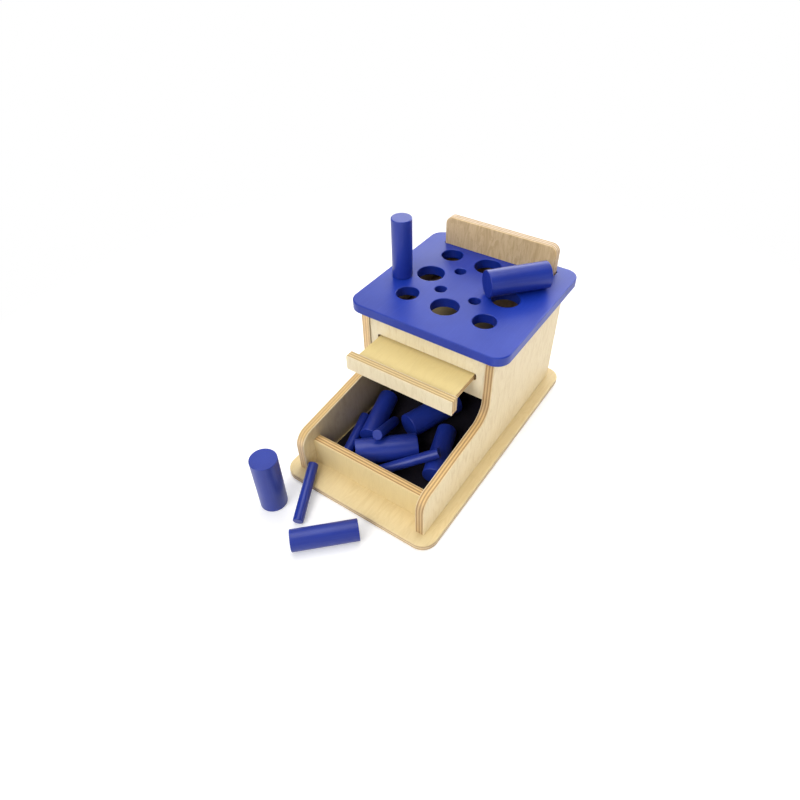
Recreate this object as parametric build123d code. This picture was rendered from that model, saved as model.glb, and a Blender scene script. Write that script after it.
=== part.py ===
from build123d import *
import math
import os

# Cylinder drop box: a plywood house on a base board, with a blue lid full of round holes, a shelf
# that pulls out under the lid, a ramp inside, an open tray in front and twelve wooden cylinders.
# Millimetres. X to the right, -Y to the front, Z up; the origin is under the middle of the base board.

# Overall sizes
body_width = 142.5
body_depth = 255.0
house_depth = 145.5
house_height = 127.0
ply = 9.0
ply_edge_round = 0.8
overrun = 1.0

# Base board
base_thickness = 7.0
base_overhang = 12.0
base_corner_radius = 15.0
base_edge_round = 1.2

# Side panels: their rim rises from the tray's front corner to the foot of the house
rim_front_height = 49.8
rim_back_height = 62.0
rim_front_radius = 15.0
rim_back_radius = 18.0

# Front wall of the tray
wall_setback = 14.2
wall_top = 37.0

# Front panel of the house, with the shelf's slot
panel_recess = 1.7
panel_height = 49.0
slot_side_gap = 2.35
slot_top_gap = 2.0
slot_corner_radius = 2.5

# Back panel: its tab rises through the lid as a backstop
back_recess = 1.2
tab_side_gap = 1.25
tab_rise = 29.8
tab_corner_radius = 8.0

# Lid
lid_thickness = 10.0
lid_front_overhang = 6.6
lid_side_overhang = 10.9
lid_back_overhang = 10.0
lid_corner_radius = 14.0
lid_edge_round = 1.2
tab_slot_side_gap = 1.0
tab_slot_face_gap = 0.5

# Cylinders
cylinder_length = 60.0
large_diameter = 25.5
medium_diameter = 20.0
small_diameter = 10.0
cylinder_edge_round = 0.7
rest_gap = 0.2
lean_gap = 0.35

# Holes of the lid: medium at the corners of a grid, large between them and small inside.
# Each is a clearance wider than its cylinder, and the grid lies inside the house's walls.
large_hole_clearance = 1.4
medium_hole_clearance = 1.9
small_hole_clearance = 1.4
grid_side_gap = 2.6
grid_front_gap = 12.85
grid_back_gap = 7.45
small_hole_pitch = 18.5
hole_edge_round = 0.8

# Shelf, the handle strip on its front edge and the batten under its rear edge
shelf_side_gap = 10.6
shelf_thickness = 5.8
shelf_below_lid = 24.3
shelf_rear_gap = 1.0
shelf_pull = 36.9
handle_overhang = 4.85
handle_height = 15.6
handle_groove = 4.5
handle_edge_round = 0.5
batten_height = 9.0
batten_depth = 9.0
batten_end_gap = 1.0
slide_gap = 0.2

# Runners below and above the ends of the batten
runner_width = 7.5
runner_height = 8.0

# Ramp, the cleat that carries its rear end, and the mat
ramp_run = 89.0
ramp_rise = 26.0
ramp_thickness = 6.0
cleat_depth = 9.0
cleat_height = 14.0
mat_thickness = 2.0
mat_gap = 2.2

# Screws under the base board
screw_head = 7.0
screw_head_depth = 2.6
screw_sink = 0.4
screw_shank = 3.5
screw_length = 28.0
side_screw_shares = (-0.4, 0.0, 0.4)
board_screw_shares = (-0.3, 0.3)

# Dowels in the joints
dowel_diameter = 5.0
dowel_in_side = 5.0
dowel_in_board = 12.0
lid_dowel_above = 6.0
lid_dowel_below = 14.0
end_dowel_shares = (0.25, 0.75)
lid_dowel_shares = (0.25, 0.8)

# Cylinders in the tray: shares of a cylinder's length, first from the tray's middle to the cylinder's
# and then from the front wall to the cylinder's nearest point, as it lies level, and the heading in
# degrees from the right towards the back
tray_place_shares = {
    "large_cylinder_front": (-0.1017, 0.0153, 41.8),
    "large_cylinder_rear": (0.0726, 1.0532, 71.2),
    "medium_cylinder_rear": (-0.6661, 0.5533, 106.4),
    "medium_cylinder_right": (0.6308, 0.4250, 108.3),
    "small_cylinder_side": (-0.7781, 0.0396, 107.1),
    "small_cylinder_over": (-0.3092, 0.3005, 287.0),
    "small_cylinder_across": (0.3818, 0.0995, 34.6),
}
# Cylinders on the lid: shares of the lid's width and depth from its middle, and the heading,
# which is 0 for a cylinder that stands
lid_place_shares = {
    "large_cylinder_lid": (0.2607, 0.1117, 48.9),
    "medium_cylinder_lid": (-0.3851, -0.0985, 0.0),
}
# Cylinders beside the base board: share of the inner width from its middle, share of a cylinder's length
# from its front edge, and the heading, which is 0 for a cylinder that stands
floor_place_shares = {
    "large_cylinder_floor": (-0.550, -0.502, 0.0),
    "medium_cylinder_floor": (0.005, -0.622, 45.0),
    "small_cylinder_floor": (-0.355, -0.183, 115.8),
}
steepest_lean = 60.0
lean_halvings = 40

# Places that follow from the sizes
outer_side = body_width / 2
inner_side = outer_side - ply
inner_width = 2 * inner_side
side_front = -body_depth / 2
side_back = body_depth / 2
house_front = side_back - house_depth
base_width = body_width + 2 * base_overhang
base_front = side_front - base_overhang
base_depth = body_depth + 2 * base_overhang
wall_front = side_front + wall_setback
wall_back = wall_front + ply
panel_front = house_front + panel_recess
panel_back = panel_front + ply
back_front = side_back - back_recess - ply
lid_front = house_front - lid_front_overhang
lid_depth = house_depth + lid_front_overhang + lid_back_overhang
lid_width = body_width + 2 * lid_side_overhang
lid_middle = lid_front + lid_depth / 2
lid_top = house_height + lid_thickness
panel_bottom = house_height - panel_height
tab_width = inner_width - 2 * tab_side_gap
tab_top = lid_top + tab_rise
large_hole = large_diameter + large_hole_clearance
medium_hole = medium_diameter + medium_hole_clearance
small_hole = small_diameter + small_hole_clearance
column_pitch = inner_side - runner_width - grid_side_gap - medium_hole / 2
grid_front = panel_back + grid_front_gap + medium_hole / 2
grid_back = back_front - grid_back_gap - medium_hole / 2
grid_middle = (grid_front + grid_back) / 2
row_pitch = (grid_back - grid_front) / 2
shelf_width = inner_width - 2 * shelf_side_gap
shelf_top = house_height - shelf_below_lid
shelf_bottom = shelf_top - shelf_thickness
slot_width = shelf_width + 2 * slot_side_gap
slot_height = slide_gap + shelf_thickness + slot_top_gap
handle_width = shelf_width + 2 * handle_overhang
shelf_rear = back_front - shelf_rear_gap - shelf_pull
handle_back = panel_front - shelf_pull - slide_gap / 2
batten_bottom = shelf_bottom - batten_height
ramp_foot = back_front - ramp_run
ramp_angle = math.atan2(ramp_rise, ramp_run)
floor_top = base_thickness + mat_thickness


def block(x_range, y_range, z_range):
    """A box between two values along each axis."""
    ranges = (x_range, y_range, z_range)
    middle = [(low + high) / 2 for low, high in ranges]
    return Pos(*middle) * Box(*[high - low for low, high in ranges])


def outline_of(points):
    return make_face(Polyline(*points, close=True))


def round_corner(outline, place, radius):
    """The outline with its corner nearest to a place rounded."""
    return fillet(outline.vertices().sort_by_distance(place)[0], radius)


def across(outline, x_range):
    """A solid along X from an outline drawn in (y, z)."""
    return extrude(Plane.YZ.offset(x_range[0]) * outline, amount=x_range[1] - x_range[0])


def along(outline, y_range):
    """A solid along Y from an outline drawn in (x, z)."""
    return extrude(Plane.XZ.offset(-y_range[1]) * outline, amount=y_range[1] - y_range[0])


def drilled(solid, tools):
    for tool in tools:
        solid -= tool
    return solid


def screw():
    cone = Cone(screw_head / 2, screw_shank / 2, screw_head_depth)
    cone = Pos(0, 0, screw_sink + screw_head_depth / 2) * cone
    shank_foot = screw_sink + screw_head_depth
    shank_length = screw_length - shank_foot
    shank = Pos(0, 0, shank_foot + shank_length / 2) * Cylinder(screw_shank / 2, shank_length)
    return cone + shank


def screw_places():
    sides = [(side * (outer_side - ply / 2), share * body_depth)
             for side in (-1, 1) for share in side_screw_shares]
    boards = [(share * inner_width, y + ply / 2)
              for y in (wall_front, back_front) for share in board_screw_shares]
    return sides + boards


def screws():
    return [Pos(x, y, 0) * screw() for x, y in screw_places()]


def screw_sinks():
    """The shallow round recesses below the sunk screw heads."""
    height = 2 * screw_sink
    return [Pos(x, y, 0) * Cylinder(screw_head / 2, height) for x, y in screw_places()]


def end_dowels(y, bottom, top):
    """Two dowels at each end of a board that stands between the side panels."""
    length = dowel_in_side + dowel_in_board
    x = inner_side + (dowel_in_side - dowel_in_board) / 2
    dowel = Rot(0, 90, 0) * Cylinder(dowel_diameter / 2, length)
    heights = [bottom + share * (top - bottom) for share in end_dowel_shares]
    return [Pos(side * x, y, z) * dowel for side in (-1, 1) for z in heights]


def wall_dowels():
    return end_dowels(wall_front + ply / 2, base_thickness, wall_top)


def panel_dowels():
    return end_dowels(panel_front + ply / 2, panel_bottom, house_height)


def back_dowels():
    return end_dowels(back_front + ply / 2, base_thickness, house_height)


def lid_dowels():
    length = lid_dowel_below + lid_dowel_above
    z = house_height + (lid_dowel_above - lid_dowel_below) / 2
    dowel = Cylinder(dowel_diameter / 2, length)
    places = [(side * (outer_side - ply / 2), house_front + share * house_depth)
              for side in (-1, 1) for share in lid_dowel_shares]
    return [Pos(x, y, z) * dowel for x, y in places]


def base_board():
    outline = RectangleRounded(base_width, base_depth, base_corner_radius)
    board = extrude(outline, amount=base_thickness)
    board = fillet(board.edges().filter_by(Plane.XY), base_edge_round)
    return drilled(board, screws() + screw_sinks())


def side_panel(side):
    outline = outline_of([
        (side_front, base_thickness), (side_front, rim_front_height), (house_front, rim_back_height),
        (house_front, house_height), (side_back, house_height), (side_back, base_thickness),
    ])
    outline = round_corner(outline, (side_front, rim_front_height), rim_front_radius)
    outline = round_corner(outline, (house_front, rim_back_height), rim_back_radius)
    panel = across(outline, sorted((side * inner_side, side * outer_side)))
    rims = panel.faces().filter_by(Axis.X).edges()
    free = [edge for edge in rims if base_thickness < edge.center().Z < house_height]
    panel = fillet(free, ply_edge_round)
    return drilled(panel, screws() + wall_dowels() + panel_dowels() + back_dowels() + lid_dowels())


def front_wall():
    wall = block((-inner_side, inner_side), (wall_front, wall_back), (base_thickness, wall_top))
    top_edges = wall.faces().sort_by(Axis.Z)[-1].edges().filter_by(Axis.X)
    return drilled(fillet(top_edges, ply_edge_round), screws() + wall_dowels())


def front_panel():
    panel = block((-inner_side, inner_side), (panel_front, panel_back), (panel_bottom, house_height))
    slot = RectangleRounded(slot_width, slot_height, slot_corner_radius)
    slot_middle = shelf_bottom - slide_gap + slot_height / 2
    cut = along(Pos(0, slot_middle) * slot, (panel_front - overrun, panel_back + overrun))
    return drilled(panel, [cut] + panel_dowels())


def back_panel():
    house_middle = (base_thickness + house_height) / 2
    house = Pos(0, house_middle) * Rectangle(inner_width, house_height - base_thickness)
    tab = Pos(0, (base_thickness + tab_top) / 2) * Rectangle(tab_width, tab_top - base_thickness)
    outline = house + tab
    for side in (-1, 1):
        outline = round_corner(outline, (side * tab_width / 2, tab_top), tab_corner_radius)
    panel = along(outline, (back_front, back_front + ply))
    rims = panel.faces().filter_by(Axis.Y).edges()
    panel = fillet([edge for edge in rims if edge.center().Z > lid_top], ply_edge_round)
    return drilled(panel, screws() + back_dowels())


def hole_places():
    """The holes of the lid as (x, y, diameter)."""
    places = []
    for column in (-1, 0, 1):
        for row in (-1, 0, 1):
            diameter = medium_hole if column and row else large_hole
            if column or row:
                places.append((column * column_pitch, grid_middle + row * row_pitch, diameter))
            if column and row:
                places.append((column * small_hole_pitch, grid_middle + row * small_hole_pitch, small_hole))
    return places


def lid():
    outline = RectangleRounded(lid_width, lid_depth, lid_corner_radius)
    board = extrude(Pos(0, lid_middle, house_height) * outline, amount=lid_thickness)
    board = fillet(board.edges().filter_by(Plane.XY), lid_edge_round)
    slot_side = tab_width / 2 + tab_slot_side_gap
    slot_faces = (back_front - tab_slot_face_gap, back_front + ply + tab_slot_face_gap)
    board -= block((-slot_side, slot_side), slot_faces, (house_height - overrun, lid_top + overrun))
    for x, y, diameter in hole_places():
        hole = Cylinder(diameter / 2, lid_thickness + 2 * overrun)
        board -= Pos(x, y, house_height + lid_thickness / 2) * hole
    sizes = (large_hole / 2, medium_hole / 2, small_hole / 2)
    rings = board.edges().filter_by(GeomType.CIRCLE).filter_by(Plane.XY)
    rims = [edge for edge in rings if edge.radius in sizes]
    board = fillet(rims, hole_edge_round)
    return drilled(board, lid_dowels())


def shelf_board():
    return block((-shelf_width / 2, shelf_width / 2), (handle_back - handle_groove, shelf_rear),
                 (shelf_bottom, shelf_top))


def shelf_handle():
    middle = (shelf_bottom + shelf_top) / 2
    strip = block((-handle_width / 2, handle_width / 2), (handle_back - ply, handle_back),
                  (middle - handle_height / 2, middle + handle_height / 2))
    strip = fillet(strip.edges(), handle_edge_round)
    return strip - shelf_board()


def shelf_batten():
    half = inner_side - batten_end_gap
    return block((-half, half), (shelf_rear - batten_depth, shelf_rear), (batten_bottom, shelf_bottom))


def runner(side, bottom):
    x_range = sorted((side * (inner_side - runner_width), side * inner_side))
    return block(x_range, (panel_back, back_front), (bottom, bottom + runner_height))


def ramp_height(y, depth):
    """Height of the plane that lies a depth below the top of the ramp, at a place along Y."""
    return base_thickness + (y - ramp_foot) * math.tan(ramp_angle) - depth / math.cos(ramp_angle)


def ramp_board():
    outline = outline_of([
        (ramp_foot, base_thickness), (back_front, ramp_height(back_front, 0)),
        (back_front, ramp_height(back_front, ramp_thickness)),
        (ramp_foot + ramp_thickness / math.sin(ramp_angle), base_thickness),
    ])
    return across(outline, (-inner_side, inner_side))


def ramp_cleat():
    front = back_front - cleat_depth
    bottom = ramp_height(back_front, ramp_thickness) - cleat_height
    outline = outline_of([
        (front, bottom), (back_front, bottom), (back_front, ramp_height(back_front, ramp_thickness)),
        (front, ramp_height(front, ramp_thickness)),
    ])
    return across(outline, (-inner_side, inner_side))


def tray_mat():
    """One bent sheet: flat in the tray, then up the ramp."""
    front = wall_back + mat_gap
    rear = back_front - mat_gap
    bend = ramp_foot - mat_thickness * math.tan(ramp_angle / 2)
    outline = outline_of([
        (front, base_thickness), (ramp_foot, base_thickness), (rear, ramp_height(rear, 0)),
        (rear, ramp_height(rear, -mat_thickness)), (bend, floor_top), (front, floor_top),
    ])
    return across(outline, (-inner_side + mat_gap, inner_side - mat_gap))


def cylinder(diameter):
    solid = Cylinder(diameter / 2, cylinder_length)
    return fillet(solid.edges().filter_by(GeomType.CIRCLE), cylinder_edge_round)


def axis_of(diameter, x, y, heading, surface, tilt):
    """The middle and direction of a cylinder whose low rim is on a level surface."""
    turn, lift = math.radians(heading), math.radians(tilt)
    z = surface + diameter / 2 * math.cos(lift) + cylinder_length / 2 * math.sin(lift)
    direction = Vector(math.cos(turn) * math.cos(lift), math.sin(turn) * math.cos(lift), math.sin(lift))
    return Vector(x, y, z), direction


def lean_tilt(diameter, x, y, heading, surface, support, support_direction, support_radius):
    """The tilt in degrees at which a cylinder just clears the round piece or edge that it leans on."""
    low, high = 0.0, steepest_lean
    for _ in range(lean_halvings):
        tilt = (low + high) / 2
        middle, direction = axis_of(diameter, x, y, heading, surface, tilt)
        normal = direction.cross(support_direction).normalized()
        distance = abs((middle - support).dot(normal))
        if distance < diameter / 2 + support_radius + lean_gap:
            low = tilt
        else:
            high = tilt
    return high


def laid(diameter, x, y, heading, surface, tilt=0):
    middle, _ = axis_of(diameter, x, y, heading, surface, tilt)
    return Location(middle) * Rot(0, 0, heading) * Rot(0, 90 - tilt, 0) * cylinder(diameter)


def diameter_of(name):
    sizes = {"large": large_diameter, "medium": medium_diameter, "small": small_diameter}
    return sizes[name.split("_")[0]]


def reach(diameter, heading):
    """How far a level cylinder reaches from its middle along Y."""
    turn = math.radians(heading)
    return cylinder_length / 2 * abs(math.sin(turn)) + diameter / 2 * abs(math.cos(turn))


def tray_cylinders():
    surface = floor_top + rest_gap
    places = {}
    for name, (share_x, share_y, heading) in tray_place_shares.items():
        diameter = diameter_of(name)
        y = wall_back + share_y * cylinder_length + reach(diameter, heading)
        places[name] = (diameter, share_x * cylinder_length, y, heading, surface)
    leaning = {
        "small_cylinder_over": "large_cylinder_front",
        "small_cylinder_across": "medium_cylinder_right",
    }
    tilts = {}
    for name, carrier in leaning.items():
        middle, direction = axis_of(*places[carrier], 0)
        tilts[name] = lean_tilt(*places[name], middle, direction, diameter_of(carrier) / 2)
    return {name: laid(*place, tilts.get(name, 0)) for name, place in places.items()}


def standing(diameter, x, y, surface):
    return Pos(x, y, surface + cylinder_length / 2) * cylinder(diameter)


def lid_cylinders():
    solids = {}
    for name, (share_x, share_y, heading) in lid_place_shares.items():
        place = (diameter_of(name), share_x * lid_width, lid_middle + share_y * lid_depth)
        if heading:
            solids[name] = laid(*place, heading, lid_top + rest_gap)
        else:
            solids[name] = standing(*place, lid_top + rest_gap)
    return solids


def floor_cylinders():
    places = {}
    for name, (share_x, share_y, heading) in floor_place_shares.items():
        y = base_front + share_y * cylinder_length
        places[name] = (diameter_of(name), share_x * inner_width, y, heading, 0)
    leaning = places["small_cylinder_floor"]
    tilt = lean_tilt(*leaning, Vector(0, base_front, base_thickness), Vector(1, 0, 0), 0)
    diameter, x, y, _, surface = places["large_cylinder_floor"]
    return {
        "large_cylinder_floor": standing(diameter, x, y, surface),
        "medium_cylinder_floor": laid(*places["medium_cylinder_floor"]),
        "small_cylinder_floor": laid(*leaning, tilt),
    }


def pieces():
    lower = batten_bottom - slide_gap - runner_height
    upper = shelf_bottom + slide_gap
    return {
        "base_board": base_board(),
        "left_side_panel": side_panel(-1),
        "right_side_panel": side_panel(1),
        "front_wall": front_wall(),
        "front_panel": front_panel(),
        "back_panel": back_panel(),
        "lid": lid(),
        "ramp_board": ramp_board(),
        "ramp_cleat": ramp_cleat(),
        "tray_mat": tray_mat(),
        "left_lower_runner": runner(-1, lower),
        "left_upper_runner": runner(-1, upper),
        "right_lower_runner": runner(1, lower),
        "right_upper_runner": runner(1, upper),
        "shelf_board": shelf_board(),
        "shelf_handle": shelf_handle(),
        "shelf_batten": shelf_batten(),
        "base_screws": Compound(screws()),
        "lid_dowels": Compound(lid_dowels()),
        "front_wall_dowels": Compound(wall_dowels()),
        "front_panel_dowels": Compound(panel_dowels()),
        "back_panel_dowels": Compound(back_dowels()),
        **tray_cylinders(),
        **lid_cylinders(),
        **floor_cylinders(),
    }


os.makedirs("parts", exist_ok=True)
for node, shape in pieces().items():
    export_step(shape, f"parts/{node}.step")
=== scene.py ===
"""Looks of the cylinder drop box: lacquered birch plywood, blue paint and dark felt, in a white studio.

Blender's own objects are in metres. The tables and calls here are in millimetres, degrees and screen
colours from 0 to 255, unless a comment says otherwise."""
import math

import bpy
import numpy as np
from mathutils import Matrix, Vector, noise


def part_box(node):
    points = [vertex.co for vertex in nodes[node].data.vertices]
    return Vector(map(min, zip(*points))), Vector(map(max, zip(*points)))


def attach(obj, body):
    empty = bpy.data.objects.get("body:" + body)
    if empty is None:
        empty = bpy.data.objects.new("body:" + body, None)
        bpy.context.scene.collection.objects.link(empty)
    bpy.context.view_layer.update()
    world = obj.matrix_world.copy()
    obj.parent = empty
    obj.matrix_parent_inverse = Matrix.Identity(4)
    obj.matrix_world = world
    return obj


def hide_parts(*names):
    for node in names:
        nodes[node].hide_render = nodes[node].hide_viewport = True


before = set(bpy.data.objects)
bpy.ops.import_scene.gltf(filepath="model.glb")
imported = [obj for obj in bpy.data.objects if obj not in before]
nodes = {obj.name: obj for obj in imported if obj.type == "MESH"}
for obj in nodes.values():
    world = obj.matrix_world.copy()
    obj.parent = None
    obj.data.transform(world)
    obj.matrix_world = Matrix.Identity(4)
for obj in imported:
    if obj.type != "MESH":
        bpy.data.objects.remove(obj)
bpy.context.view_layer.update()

MM = 0.001
PER_METRE = 1000.0
X, Y, Z = Vector((1, 0, 0)), Vector((0, 1, 0)), Vector((0, 0, 1))
INNER_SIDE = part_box("right_side_panel")[0].x / MM
LID_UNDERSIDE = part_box("lid")[0].z / MM
TRAY_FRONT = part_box("front_wall")[1].y / MM
PANEL_FRONT, HOUSE_INSIDE = (corner.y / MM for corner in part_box("front_panel"))
HOUSE_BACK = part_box("back_panel")[0].y / MM
RAMP_RISE, RAMP_RUN = 26.0, 89.0
RAMP_SLOPE = math.atan2(RAMP_RISE, RAMP_RUN)


def linear(red, green, blue):
    """A screen colour as Blender's linear one."""
    def channel(value):
        value /= 255
        return value / 12.92 if value <= 0.04045 else ((value + 0.055) / 1.055) ** 2.4
    return channel(red), channel(green), channel(blue), 1.0


def scaled(colour, red, green, blue):
    return colour[0] * red, colour[1] * green, colour[2] * blue, 1.0


def corners(node):
    low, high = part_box(node)
    return low / MM, high / MM


NODES_IN_ROW, NODE_WIDTH, NODE_HEIGHT = 12, 220, 260  # of the node editor's layout
RELIEF = 0.00008  # of wood and paint, in metres


class Graph:
    """The node tree of a material or the world, with short calls that return sockets."""

    def __init__(self, owner):
        owner.use_nodes = True
        self.owner, self.tree = owner, owner.node_tree
        self.tree.nodes.clear()

    def node(self, kind, inputs, **settings):
        made = self.tree.nodes.new(kind)
        row, column = divmod(len(self.tree.nodes), NODES_IN_ROW)
        made.location = (NODE_WIDTH * column, -NODE_HEIGHT * row)
        for key, value in settings.items():
            setattr(made, key, value)
        for key, value in inputs.items():
            socket = made.inputs[key]
            if isinstance(value, bpy.types.NodeSocket):
                self.tree.links.new(value, socket)
            else:
                socket.default_value = value
        return made

    def coordinate(self, name):
        """Object is the place, in metres, and Normal is the direction that the surface faces. In the
        world, Generated is the direction looked in."""
        return self.node("ShaderNodeTexCoord", {}).outputs[name]

    def math(self, operation, first, second=0.0):
        return self.node("ShaderNodeMath", {0: first, 1: second}, operation=operation).outputs[0]

    def plus(self, first, second):
        return self.math("ADD", first, second)

    def minus(self, first, second):
        return self.math("SUBTRACT", first, second)

    def times(self, first, second):
        return self.math("MULTIPLY", first, second)

    def around(self, middle, value, spread):
        """Half the spread below to half above the middle, as value goes from 0 to 1."""
        return self.plus(middle, self.times(self.minus(value, 0.5), spread))

    def dot(self, vector, direction):
        made = self.node("ShaderNodeVectorMath", {0: vector, 1: tuple(direction)}, operation="DOT_PRODUCT")
        return made.outputs["Value"]

    def along(self, place, direction):
        """How far a place lies along a direction."""
        return self.dot(place, direction * PER_METRE)

    def combine(self, x, y, z):
        return self.node("ShaderNodeCombineXYZ", {0: x, 1: y, 2: z}).outputs[0]

    def noise(self, vector, scale, detail=2.0, roughness=0.5, distortion=0.0):
        """The scale is per metre for a place, and per millimetre for combined lengths."""
        made = self.node("ShaderNodeTexNoise", {"Vector": vector, "Scale": scale, "Detail": detail,
                                                "Roughness": roughness, "Distortion": distortion})
        return made.outputs[0]

    def span(self, value, low, high, to_low=0.0, to_high=1.0, smooth=False):
        """Goes from to_low to to_high as value goes from low to high, and no further."""
        return self.node("ShaderNodeMapRange", {0: value, 1: low, 2: high, 3: to_low, 4: to_high},
                         interpolation_type="SMOOTHSTEP" if smooth else "LINEAR").outputs[0]

    def faces(self, facing, direction, low, high):
        """Whether the surface faces along the direction, either way. The limits are cosines."""
        return self.span(self.math("ABSOLUTE", self.dot(facing, direction)), low, high, smooth=True)

    def ramp(self, factor, stops):
        made = self.node("ShaderNodeValToRGB", {0: factor})
        elements = made.color_ramp.elements
        while len(elements) < len(stops):
            elements.new(0.5)
        for element, (place, colour) in zip(elements, stops):
            element.position, element.color = place, colour
        return made.outputs[0]

    def mix(self, factor, first, second):
        """Blends two numbers. The node has its sockets for numbers and for colours side by side."""
        return self.node("ShaderNodeMix", {0: factor, 2: first, 3: second}, data_type="FLOAT").outputs[0]

    def blend(self, factor, first, second):
        """Blends two colours."""
        return self.node("ShaderNodeMix", {0: factor, 6: first, 7: second}, data_type="RGBA").outputs[2]

    def layer(self, colour, over, value, low, high, amount, smooth=False):
        """Lays one colour over another, up to that amount as value goes from low to high."""
        return self.blend(self.times(self.span(value, low, high, smooth=smooth), amount), colour, over)

    def bump(self, height, strength, distance=RELIEF):
        inputs = {"Height": height, "Distance": distance, "Strength": strength}
        return self.node("ShaderNodeBump", inputs).outputs[0]

    def finish(self, colour, roughness, normal, uniform):
        """Makes the surface, with numbers by name that are the same all over it."""
        inputs = {"Base Color": colour, "Roughness": roughness, "Normal": normal, **uniform}
        shader = self.node("ShaderNodeBsdfPrincipled", inputs)
        self.node("ShaderNodeOutputMaterial", {0: shader.outputs[0]})
        return self.owner


def new_graph(material):
    return Graph(bpy.data.materials.new(material))


SIDE_LIGHT, SIDE_DARK = linear(222, 194, 146), linear(186, 142, 86)
END_LIGHT, END_DARK = linear(244, 208, 144), linear(168, 130, 86)
GLUE_LINE = linear(150, 104, 62)
PORE = linear(176, 134, 88)
# Painted shade: the colour that wood inside the tray and the house is darkened towards
PAINTED_SHADE = linear(84, 52, 36)
DARK_SHARES, PALE_SHARES = (0.74, 0.66, 0.52), (1.04, 1.05, 1.10)
PLAIN = (1.0, 1.0, 1.0)
SEED_SHIFT = 37.0  # along the grain; the seed's other factors only keep its noises apart
SANDED = 0.3  # the share of a layer that is sanded off each outer one
WANDER = 0.5  # how far the layers' borders wander in all
SKIN = 0.2  # how far a mask reaches past the surface that it ends at


def inside_shade(g, place, first, last):
    """How much painted shade darkens the wood: none outside, a little in the tray and most of all in the
    house.
    It starts at the place first along the box and is whole from last on."""
    y = g.along(place, Y)
    within = g.math("LESS_THAN", g.math("ABSOLUTE", g.along(place, X)), INNER_SIDE + SKIN)
    within = g.times(within, g.span(y, first, last, smooth=True))
    within = g.times(within, g.math("LESS_THAN", y, HOUSE_BACK + SKIN))
    within = g.times(within, g.math("LESS_THAN", g.along(place, Z), LID_UNDERSIDE + SKIN))
    return g.times(within, g.span(y, TRAY_FRONT, HOUSE_INSIDE, to_low=0.07, to_high=0.58, smooth=True))


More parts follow.
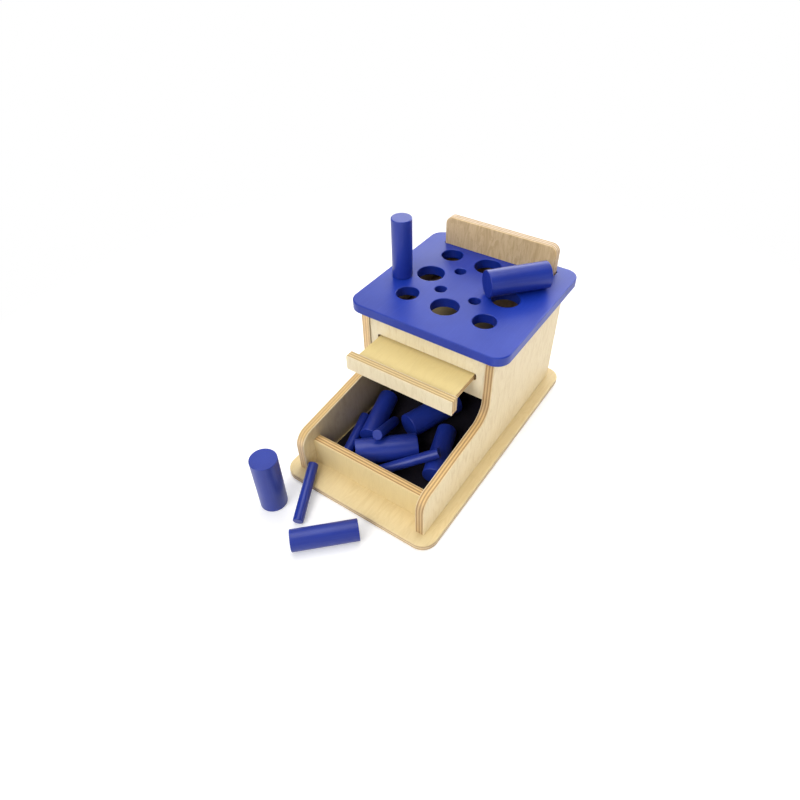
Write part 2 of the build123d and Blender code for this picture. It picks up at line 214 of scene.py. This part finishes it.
def plywood(name, normal, grain, plies, face_at, thickness, veneer, seed, figure=1.0, flame=0.3, lines=0.8,
            cut_tint=PLAIN, side_tint=PLAIN, shade_from=None):
    """Plywood all the way through: layers stacked along normal from face_at, whose grain turns by a
    right angle from layer to layer, end grain where a layer is cut across, and glue between them.
    Figure is how strong the fibres, streaks and pores are, flame the flames of the rotary cut, and
    lines the dark layers and glue. The tints are for edges that cut the outer layers' grain and for
    edges along it. shade_from is the first and last place of the painted shade inside, or None for a board
    outside."""
    g = new_graph(name)
    normal, grain = normal.normalized(), grain.normalized()
    place, facing = g.coordinate("Object"), g.coordinate("Normal")
    u = g.plus(g.along(place, grain), seed * SEED_SHIFT)
    v = g.along(place, normal.cross(grain))
    t = g.minus(g.along(place, normal), face_at)
    wander = g.times(g.minus(g.noise(g.combine(u, v, seed), scale=0.035, detail=1.0), 0.5), WANDER)
    ply = thickness / (plies - 2 * SANDED)
    depth = g.math("DIVIDE", g.plus(g.plus(t, wander), SANDED * ply), ply)
    number, within = g.math("FLOOR", depth), g.math("FRACT", depth)
    crossed = g.math("ABSOLUTE", g.math("MODULO", number, 2.0))
    middle = g.minus(1.0, g.math("ABSOLUTE", g.minus(g.times(within, 2.0), 1.0)))

    # The face: fine fibres, streaks along the grain, flames of the rotary cut and a slow drift of colour
    def drawn(share, third, **look):
        """Noise that is drawn out along the grain, where it changes at that share of its rate."""
        return g.noise(g.combine(g.times(u, share), v, third), **look)

    dark, pale = scaled(veneer, *DARK_SHARES), scaled(veneer, *PALE_SHARES)
    fibres = drawn(0.035, t, scale=1.1, detail=3.0, roughness=0.6)
    streaks = drawn(0.06, seed, scale=0.42, detail=3.0, roughness=0.6, distortion=0.9)
    flames = drawn(0.30, seed * 3.0, scale=0.11, detail=3.0, roughness=0.6, distortion=2.2)
    cloud = g.noise(g.combine(u, v, seed * 5.0), scale=0.014)
    pores = drawn(0.16, seed, scale=2.6, detail=1.0)
    wood = g.layer(veneer, dark, fibres, low=0.35, high=0.75, amount=0.25 * figure)
    wood = g.layer(wood, dark, streaks, low=0.46, high=0.72, amount=0.35 * figure, smooth=True)
    wood = g.layer(wood, dark, flames, low=0.48, high=0.62, amount=flame, smooth=True)
    wood = g.layer(wood, pale, flames, low=0.46, high=0.36, amount=flame, smooth=True)
    wood = g.layer(wood, PORE, pores, low=0.66, high=0.74, amount=0.30 * figure)
    wood = g.layer(wood, pale, cloud, low=0.35, high=0.65, amount=0.3)

    # The edge: pale and dark layers, darker where they are cut across the grain, with glue between
    speckle = g.noise(place, scale=900.0, roughness=0.7)
    rays = g.noise(g.combine(g.times(u, 0.12), g.times(v, 0.12), g.times(t, 1.6)), scale=1.0)
    odd_end = g.faces(facing, grain, 0.35, 0.8)
    even_end = g.minus(1.0, odd_end)
    outer = g.math("MAXIMUM", g.math("LESS_THAN", number, 0.5), g.math("GREATER_THAN", number, plies - 1.5))
    odd = g.blend(odd_end, scaled(SIDE_LIGHT, *side_tint), scaled(END_LIGHT, *cut_tint))
    # The outermost layers are paler on the edges: partly the face veneer, partly a painted highlight along
    # the rounded edges
    odd = g.blend(g.times(outer, 0.7), odd, pale)
    even = g.blend(even_end, scaled(SIDE_DARK, *cut_tint), scaled(END_DARK, *side_tint))
    core = g.times(g.times(crossed, g.span(middle, 0.0, 0.6, smooth=True)), lines)
    edge = g.blend(core, odd, even)
    glue = g.times(g.span(middle, 0.06, 0.26, to_low=0.5, to_high=0.0, smooth=True), lines)
    edge = g.blend(glue, edge, GLUE_LINE)
    edge = g.layer(edge, END_DARK, rays, low=0.4, high=0.7, amount=0.15)
    edge = g.layer(edge, GLUE_LINE, speckle, low=0.5, high=0.8, amount=0.2)
    face = g.faces(facing, normal, 0.3, 0.62)
    colour = g.blend(face, edge, wood)
    # Painted shade darkens the wood inside the tray, and most of all inside the house
    if shade_from is not None:
        colour = g.blend(inside_shade(g, place, *shade_from), colour, PAINTED_SHADE)

    rim = g.minus(1.0, face)
    relief = g.plus(g.times(fibres, 0.6), g.times(g.times(speckle, rim), 1.2))
    relief = g.minus(relief, g.times(g.times(glue, rim), 0.8))
    rough = g.around(g.mix(face, 0.55, 0.42), streaks, 0.2)
    return g.finish(colour, rough, g.bump(relief, 0.5), {"Specular IOR Level": 0.42})


BEECH_STOPS = (0.3, linear(222, 186, 140)), (0.55, linear(208, 168, 120)), (0.75, linear(190, 146, 100))
BEECH_FIBRE, BEECH_FLECK, BEECH_END = linear(176, 132, 90), linear(140, 96, 62), linear(160, 116, 76)


def beech(name, length_axis, other_axis, seed):
    """Plain planed beech with its short dark flecks, grain along length_axis."""
    g = new_graph(name)
    place, facing = g.coordinate("Object"), g.coordinate("Normal")
    u, v, w = (g.along(place, axis) for axis in (length_axis, other_axis, length_axis.cross(other_axis)))
    fibres = g.noise(g.combine(g.times(u, 0.03), v, w), scale=1.3, detail=3.0, roughness=0.6)
    rings = g.noise(g.combine(g.times(u, 0.02), g.plus(v, seed * 11.0), w), scale=0.35, distortion=0.6)
    flecks = g.noise(g.combine(g.times(u, 0.35), v, g.times(w, 2.0)), scale=2.2, detail=1.0)
    end = g.faces(facing, length_axis, 0.4, 0.85)
    colour = g.layer(g.ramp(rings, BEECH_STOPS), BEECH_FIBRE, fibres, low=0.4, high=0.8, amount=0.4)
    colour = g.layer(colour, BEECH_FLECK, flecks, low=0.62, high=0.7, amount=0.5)
    colour = g.blend(g.times(end, 0.6), colour, BEECH_END)
    return g.finish(colour, g.mix(end, 0.5, 0.68), g.bump(fibres, 0.6), {"Specular IOR Level": 0.4})


# The plain coat, a deeper tone that it drifts to, and the tone where it is thin
LID_PAINT = linear(19, 55, 172), linear(15, 49, 161), linear(47, 81, 190)
CYLINDER_PAINT = linear(32, 56, 160), linear(27, 48, 147), linear(56, 82, 180)
# Painted shade for the walls of the lid's bores
BORE_SHADE = linear(12, 20, 84)


def paint(name, colours, grain, others, roughness, bores=None):
    """Sprayed satin paint on wood: orange peel, and the grain showing faintly through it. Upright
    walls within bores, between a lowest and a highest corner, are darkened as painted shade."""
    plain, deep, thin = colours
    g = new_graph(name)
    place = g.coordinate("Object")
    u, v, w = (g.along(place, axis) for axis in (grain, *others))
    peel = g.noise(place, scale=700.0)
    lines = g.noise(g.combine(g.times(u, 0.035), v, w), scale=0.9, detail=3.0, roughness=0.6)
    cloud = g.noise(place, scale=24.0, detail=3.0, roughness=0.55)
    dust = g.noise(place, scale=2600.0, detail=1.0)
    colour = g.blend(g.span(cloud, 0.35, 0.65), plain, deep)
    colour = g.layer(colour, thin, lines, low=0.5, high=0.8, amount=0.22)
    colour = g.layer(colour, thin, dust, low=0.66, high=0.8, amount=0.5)
    if bores:
        lowest, highest = bores
        lean = g.math("ABSOLUTE", g.dot(g.coordinate("Normal"), Z))
        wall = g.span(lean, 0.3, 0.7, to_low=1.0, to_high=0.0, smooth=True)
        for axis in (X, Y):
            along = g.along(place, axis)
            wall = g.times(wall, g.math("GREATER_THAN", along, lowest.dot(axis)))
            wall = g.times(wall, g.math("LESS_THAN", along, highest.dot(axis)))
        # Painted shade on the upright walls of the bores
        colour = g.blend(g.times(wall, 0.3), colour, BORE_SHADE)
    relief = g.plus(g.times(peel, 0.8), g.times(lines, 0.9))
    rough = g.around(roughness, cloud, 0.16)
    return g.finish(colour, rough, g.bump(relief, 0.6), {"Specular IOR Level": 0.5})


FELT_DARK, FELT_PALE = linear(27, 24, 34), linear(38, 35, 47)
FELT_HAIR, FELT_DEEP = linear(68, 64, 76), linear(24, 22, 30)
FELT_RELIEF, ZINC_RELIEF = 0.0004, 0.00003


def felt(name):
    g = new_graph(name)
    place = g.coordinate("Object")
    tufts = g.noise(place, scale=420.0, detail=4.0, roughness=0.7, distortion=1.5)
    hairs = g.noise(place, scale=1500.0, detail=3.0, roughness=0.7, distortion=2.5)
    cloud = g.noise(place, scale=30.0)
    colour = g.blend(g.span(tufts, 0.35, 0.7), FELT_DARK, FELT_PALE)
    colour = g.layer(colour, FELT_HAIR, hairs, low=0.6, high=0.8, amount=0.35)
    colour = g.layer(colour, FELT_DEEP, cloud, low=0.4, high=0.7, amount=0.4)
    relief = g.plus(tufts, g.times(hairs, 0.6))
    return g.finish(colour, 0.95, g.bump(relief, 0.7, FELT_RELIEF),
                    {"Specular IOR Level": 0.1, "Sheen Weight": 0.05, "Sheen Roughness": 0.5})


ZINC_BRIGHT, ZINC_DULL = linear(196, 198, 200), linear(168, 170, 176)


def zinc(name):
    g = new_graph(name)
    place = g.coordinate("Object")
    grain = g.noise(place, scale=900.0, detail=3.0, roughness=0.6)
    stain = g.noise(place, scale=160.0)
    colour = g.blend(g.span(stain, 0.4, 0.65), ZINC_BRIGHT, ZINC_DULL)
    rough = g.span(grain, 0.3, 0.7, to_low=0.28, to_high=0.42)
    return g.finish(colour, rough, g.bump(grain, 0.4, ZINC_RELIEF), {"Metallic": 1.0})


UPRIGHT = {"normal": Y, "grain": Z, "plies": 7}
LEVEL = {"normal": Z, "grain": Y, "plies": 5}
SIDEWAYS = {"normal": X, "grain": Z, "plies": 7}
# The places along the box from which a board is darkened by painted shade: where that starts and where it
# is whole
IN_TRAY = TRAY_FRONT, TRAY_FRONT + 0.1
BEHIND_WALL = TRAY_FRONT - 1.0, TRAY_FRONT - 0.9
BEHIND_PANEL_FACE = PANEL_FRONT + 0.4, PANEL_FRONT + 0.9
IN_HOUSE = HOUSE_INSIDE, HOUSE_INSIDE + 45.0
BOARDS = {
    "base_board": dict(LEVEL, veneer=(232, 210, 158), figure=0.5, flame=0.18, lines=0.75,
                       cut_tint=(0.95, 1.1, 1.55), side_tint=(1.0, 1.1, 1.3), shade_from=IN_TRAY),
    # The left panel's edge tints differ from the right panel's as painted light: a brighter front edge, and
    # a darker top rim as painted shade
    "left_side_panel": dict(SIDEWAYS, veneer=(242, 226, 187), figure=0.75, flame=0.32, lines=0.5,
                            cut_tint=(0.88, 0.88, 0.86), side_tint=(1.4, 1.42, 1.5), shade_from=IN_TRAY),
    "right_side_panel": dict(SIDEWAYS, veneer=(242, 226, 187), figure=0.75, flame=0.32, lines=0.9,
                             cut_tint=(0.98, 0.98, 0.98), side_tint=(0.98, 0.98, 0.98), shade_from=IN_TRAY),
    "front_wall": dict(UPRIGHT, veneer=(237, 216, 162), figure=0.5, flame=0.14, lines=1.0,
                       cut_tint=(0.97, 0.97, 0.97), shade_from=BEHIND_WALL),
    "front_panel": dict(UPRIGHT, veneer=(246, 236, 206), figure=0.6, flame=0.2, lines=0.8,
                        shade_from=BEHIND_PANEL_FACE),
    # The back panel's cut tint lifts blue on its top edge: partly its pale edge, partly a painted sheen
    "back_panel": dict(UPRIGHT, veneer=(237, 208, 156), figure=1.6, flame=0.6, lines=0.95,
                       cut_tint=(0.88, 1.0, 1.50), side_tint=(1.05, 1.1, 1.3), shade_from=IN_TRAY),
    "shelf_board": dict(LEVEL, veneer=(247, 224, 156), figure=0.3, flame=0.08, lines=0.8,
                        side_tint=(1.1, 1.05, 1.0), shade_from=IN_HOUSE),
    "shelf_handle": dict(UPRIGHT, veneer=(245, 233, 200), figure=0.6, flame=0.18, lines=0.72,
                         cut_tint=(1.02, 1.12, 1.25)),
}
BOARD_SEED_STEP = 1.7
RAMP_THICKNESS = 6.0
# The axis along the grain and another across it
STRIPS = {
    "ramp_cleat": (X, Y), "shelf_batten": (X, Y),
    "left_lower_runner": (Y, X), "left_upper_runner": (Y, X),
    "right_lower_runner": (Y, X), "right_upper_runner": (Y, X),
    "lid_dowels": (Z, X), "front_wall_dowels": (X, Y),
    "front_panel_dowels": (X, Y), "back_panel_dowels": (X, Y),
}
LID_RIM = Vector((6.0, 6.0, 0.0))  # the lid's margin that no bore reaches


def dress(node, material):
    mesh = nodes[node].data
    mesh.materials.clear()
    mesh.materials.append(material)


def long_axis(node):
    """The direction of a cylinder, from how its mesh spreads."""
    places = np.array([vertex.co for vertex in nodes[node].data.vertices], float)
    spread = np.linalg.svd(places - places.mean(0), full_matrices=False)[2]
    return Vector(spread[0]).normalized()


def dress_all():
    for number, (node, look) in enumerate(BOARDS.items()):
        low, high = corners(node)
        normal = look["normal"]
        measured = {"veneer": linear(*look["veneer"]), "face_at": low.dot(normal),
                    "thickness": (high - low).dot(normal), "seed": number * BOARD_SEED_STEP}
        dress(node, plywood("ply_" + node, **{**look, **measured}))
    low = corners("ramp_board")[0]
    normal = Vector((0, -math.sin(RAMP_SLOPE), math.cos(RAMP_SLOPE)))
    grain = Vector((0, math.cos(RAMP_SLOPE), math.sin(RAMP_SLOPE)))
    foot = Vector((0, low.y, low.z))
    dress("ramp_board", plywood("ply_ramp_board", normal, grain, plies=5,
                                face_at=foot.dot(normal) - RAMP_THICKNESS, thickness=RAMP_THICKNESS,
                                veneer=linear(238, 217, 172), seed=14.0, figure=0.6, shade_from=IN_TRAY))
    for number, (node, axes) in enumerate(STRIPS.items()):
        dress(node, beech("beech_" + node, *axes, seed=number))
    low, high = corners("lid")
    dress("lid", paint("paint_lid", LID_PAINT, Y, (X, Z), 0.4, bores=(low + LID_RIM, high - LID_RIM)))
    for node in nodes:
        if "_cylinder_" in node:
            axis = long_axis(node)
            side = axis.orthogonal().normalized()
            dress(node, paint("paint_" + node, CYLINDER_PAINT, axis, (side, axis.cross(side)), 0.36))
    dress("base_screws", zinc("zinc"))


dress_all()


MAT_THICKNESS, MAT_THINNEST = 2.0, 0.4
MAT_STEP = 2.2  # between the mesh's lines, away from the cut edges
MAT_EDGE_STEPS = [0.0, 0.25, 0.6, 1.1, 1.8]
MAT_BEND = 1.2  # how near the line where it turns up the ramp the mesh leans by half
EDGE_SINK, EDGE_WIDTH = 0.85, 1.1  # of the rounding along the cut edges
HOLLOWS = 0.11  # half the depth of the hollows in the surface
RAGGED = 0.3  # how far the sides' cut edges wander inwards


def steps(whole):
    """Places along a line, close together at its ends where the cut edge is rounded."""
    margin = MAT_EDGE_STEPS[-1]
    count = int((whole - 2 * margin) / MAT_STEP)
    inner = [margin + (whole - 2 * margin) * index / count for index in range(1, count)]
    return MAT_EDGE_STEPS + inner + [whole - value for value in reversed(MAT_EDGE_STEPS)]


def unevenness(x, along, rate, level):
    return noise.noise(Vector((x * rate, along * rate, level)))


def felt_mat():
    """The mat as a sheet of felt: soft uneven surface and cut edges, flat in the tray and up the ramp."""
    low, high = corners("tray_mat")
    foot = high.y - (high.z - MAT_THICKNESS / math.cos(RAMP_SLOPE) - low.z) / math.tan(RAMP_SLOPE)
    flat_length = foot - low.y
    length = flat_length + (high.y - foot) / math.cos(RAMP_SLOPE)

    def under(along):
        """The point below and the direction up out of the sheet, at a length from its front."""
        if along <= flat_length:
            return low.y + along, low.z, 0.0
        rest = along - flat_length
        return foot + rest * math.cos(RAMP_SLOPE), low.z + rest * math.sin(RAMP_SLOPE), RAMP_SLOPE

    columns, rows = steps(high.x - low.x), steps(length)
    top, bottom = [], []
    for along in rows:
        y, z, lean = under(along)
        if abs(along - flat_length) < MAT_BEND:
            lean = RAMP_SLOPE / 2
        for column in columns:
            x = low.x + column
            edge = min(column, high.x - low.x - column, along, length - along)
            uneven = unevenness(x, along, 0.16, 3.0) + 0.6 * unevenness(x, along, 0.5, 9.0)
            sink = EDGE_SINK * max(0.0, 1.0 - edge / EDGE_WIDTH) ** 2
            sink += HOLLOWS * (1.0 + uneven) * min(1.0, edge)
            ragged = RAGGED * (0.5 + 0.5 * unevenness(x, along, 0.35, 20.0))
            shift = ragged if column == 0 else -ragged if column == columns[-1] else 0.0
            rise = max(MAT_THINNEST, MAT_THICKNESS - sink)
            bottom.append(Vector((x + shift, y, z)) * MM)
            y_top = min(y - rise * math.sin(lean), high.y)
            top.append(Vector((x + shift, y_top, z + rise * math.cos(lean))) * MM)
    wide, total = len(columns), len(top)
    faces = []
    for row in range(len(rows) - 1):
        for column in range(wide - 1):
            a, b = row * wide + column, row * wide + column + 1
            c, d = b + wide, a + wide
            faces += [(a, b, c, d), (total + a, total + d, total + c, total + b)]
    ring = list(range(wide)) + [row * wide + wide - 1 for row in range(1, len(rows))]
    ring += [(len(rows) - 1) * wide + column for column in range(wide - 2, -1, -1)]
    ring += [row * wide for row in range(len(rows) - 2, 0, -1)]
    for a, b in zip(ring, ring[1:] + ring[:1]):
        faces.append((a, total + a, total + b, b))
    mesh = bpy.data.meshes.new("felt_mat")
    mesh.from_pydata(top + bottom, [], faces)
    mesh.polygons.foreach_set("use_smooth", [True] * len(mesh.polygons))
    mesh.materials.append(felt("felt"))
    piece = bpy.data.objects.new("felt_mat", mesh)
    bpy.context.scene.collection.objects.link(piece)
    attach(piece, "house")
    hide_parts("tray_mat")


felt_mat()


def toward(azimuth, elevation):
    """A direction, from its angle round from +X and its height."""
    azimuth, elevation = math.radians(azimuth), math.radians(elevation)
    level = math.cos(elevation)
    return Vector((math.cos(azimuth) * level, math.sin(azimuth) * level, math.sin(elevation)))


# Each is the direction it comes from, how much light it gives and how wide it is
SUNS = {
    "front": (toward(261, 40), 0.62, 44),
    "above": (toward(142, 80), 0.40, 47),
    "behind": (toward(90, 35), 0.12, 40),
    "beside": (toward(325, 22), 0.12, 40),
    "back_left": (toward(146, 54), 0.08, 30),
}
# The backdrop stands this way round from +X. Its sides are cosines of the angle from there, and its
# step and top are sines of the height, each from where it starts to change to where it has changed.
BACKDROP_TOWARD = 85
BACKDROP_LOW, BACKDROP_HIGH = 5.3, 3.1
BACKDROP_SIDES = 0.57, 0.80
BACKDROP_STEP = 0.16, 0.27
BACKDROP_TOP = 0.50, 0.68
NEARLY_NONE = 0.001  # in place of 0, where straight up would divide by it
WHITE = (1.0, 1.0, 1.0, 1.0)
FLOOR_HALF = 12.0  # metres
FLOOR_FADE = 0.30, 0.60  # metres from the middle, from the shadows to plain white
FLOOR_GLOW = 0.3
FLOOR_MATT = (0.85, 0.85, 0.85, 1.0)
FLOOR_BOUNCE = (0.81, 0.75, 0.68, 1.0)


def make_floor():
    """White where it is looked at or mirrored, with the soft shadows, and matt for all other light."""
    half = FLOOR_HALF
    places = [(-half, -half, 0), (half, -half, 0), (half, half, 0), (-half, half, 0)]
    mesh = bpy.data.meshes.new("floor")
    mesh.from_pydata(places, [], [(0, 1, 2, 3)])
    floor = bpy.data.objects.new("floor", mesh)
    bpy.context.scene.collection.objects.link(floor)
    g = new_graph("floor_white")
    rays = g.node("ShaderNodeLightPath", {}).outputs
    mirrored = g.math("MAXIMUM", rays["Is Glossy Ray"], rays["Is Transmission Ray"])
    seen = g.math("MAXIMUM", rays["Is Camera Ray"], mirrored)
    bounce = g.node("ShaderNodeBsdfDiffuse", {"Color": FLOOR_BOUNCE})
    matt = g.node("ShaderNodeBsdfDiffuse", {"Color": FLOOR_MATT})
    glow = g.node("ShaderNodeEmission", {"Color": WHITE, "Strength": FLOOR_GLOW})
    near = g.node("ShaderNodeAddShader", {0: matt.outputs[0], 1: glow.outputs[0]})
    white = g.node("ShaderNodeEmission", {"Color": WHITE, "Strength": 1.0})
    out = g.node("ShaderNodeVectorMath", {0: g.coordinate("Object")}, operation="LENGTH")
    far = g.span(out.outputs["Value"], *FLOOR_FADE, smooth=True)
    shown = g.node("ShaderNodeMixShader", {0: far, 1: near.outputs[0], 2: white.outputs[0]})
    chosen = g.node("ShaderNodeMixShader", {0: seen, 1: bounce.outputs[0], 2: shown.outputs[0]})
    g.node("ShaderNodeOutputMaterial", {0: chosen.outputs[0]})
    mesh.materials.append(g.owner)


def make_backdrop():
    """A white backdrop that stands behind the box, and white all round for the camera."""
    world = bpy.data.worlds.new("studio")
    bpy.context.scene.world = world
    w = Graph(world)
    x, y, z = w.node("ShaderNodeSeparateXYZ", {0: w.coordinate("Generated")}).outputs
    level = w.math("SQRT", w.plus(w.times(x, x), w.times(y, y)))
    turn = math.radians(BACKDROP_TOWARD)
    forward = w.plus(w.times(x, math.cos(turn)), w.times(y, math.sin(turn)))
    cosine = w.math("DIVIDE", forward, w.math("MAXIMUM", level, NEARLY_NONE))
    behind = w.span(cosine, *BACKDROP_SIDES, smooth=True)
    strength = w.span(z, *BACKDROP_STEP, to_low=BACKDROP_LOW, to_high=BACKDROP_HIGH, smooth=True)
    below_top = w.span(z, *BACKDROP_TOP, to_low=1.0, to_high=0.0, smooth=True)
    backdrop = w.times(w.times(strength, behind), below_top)
    light = w.node("ShaderNodeBackground", {"Color": WHITE, "Strength": backdrop})
    white = w.node("ShaderNodeBackground", {"Color": WHITE, "Strength": 1.0})
    seen = w.node("ShaderNodeLightPath", {}).outputs["Is Camera Ray"]
    chosen = w.node("ShaderNodeMixShader", {0: seen, 1: light.outputs[0], 2: white.outputs[0]})
    w.node("ShaderNodeOutputWorld", {0: chosen.outputs[0]})


def make_suns():
    for name, (direction, strength, width) in SUNS.items():
        sun = bpy.data.lights.new(name, "SUN")
        sun.energy = math.pi * strength
        sun.angle = math.radians(width)
        holder = bpy.data.objects.new(name, sun)
        bpy.context.scene.collection.objects.link(holder)
        holder.rotation_euler = direction.to_track_quat("Z", "Y").to_euler()


make_floor()
make_backdrop()
make_suns()


# As solved on the photograph: angles, the point looked at and how far it is, in metres, and the focal
# length in pixels of a picture so wide
CAMERA_AZIMUTH, CAMERA_ELEVATION, CAMERA_ROLL = 35.7904, 43.7612, 1.6684
CAMERA_TARGET = Vector((0.0568633, -0.1367177, 0.1710452))
CAMERA_DISTANCE = 0.4075118
FOCAL_PIXELS, PICTURE_WIDTH = 594.5968, 800
SENSOR_WIDTH = 36.0
CLIP_START, CLIP_END = 0.01, 100.0  # metres


def make_camera():
    azimuth, elevation, roll = (math.radians(a) for a in (CAMERA_AZIMUTH, CAMERA_ELEVATION, CAMERA_ROLL))
    back = Vector((math.sin(azimuth) * math.cos(elevation), -math.cos(azimuth) * math.cos(elevation),
                   math.sin(elevation)))
    level = Vector((math.cos(azimuth), math.sin(azimuth), 0))
    upright = back.cross(level)
    right = math.cos(roll) * level - math.sin(roll) * upright
    up = math.sin(roll) * level + math.cos(roll) * upright
    data = bpy.data.cameras.new("camera")
    data.sensor_width = SENSOR_WIDTH
    data.lens = FOCAL_PIXELS * SENSOR_WIDTH / PICTURE_WIDTH
    data.clip_start, data.clip_end = CLIP_START, CLIP_END
    holder = bpy.data.objects.new("camera", data)
    bpy.context.scene.collection.objects.link(holder)
    turned = Matrix((right, up, back)).transposed().to_4x4()
    holder.matrix_world = Matrix.Translation(CAMERA_TARGET + CAMERA_DISTANCE * back) @ turned
    bpy.context.scene.camera = holder


make_camera()
bpy.context.scene.view_settings.view_transform = "Standard"
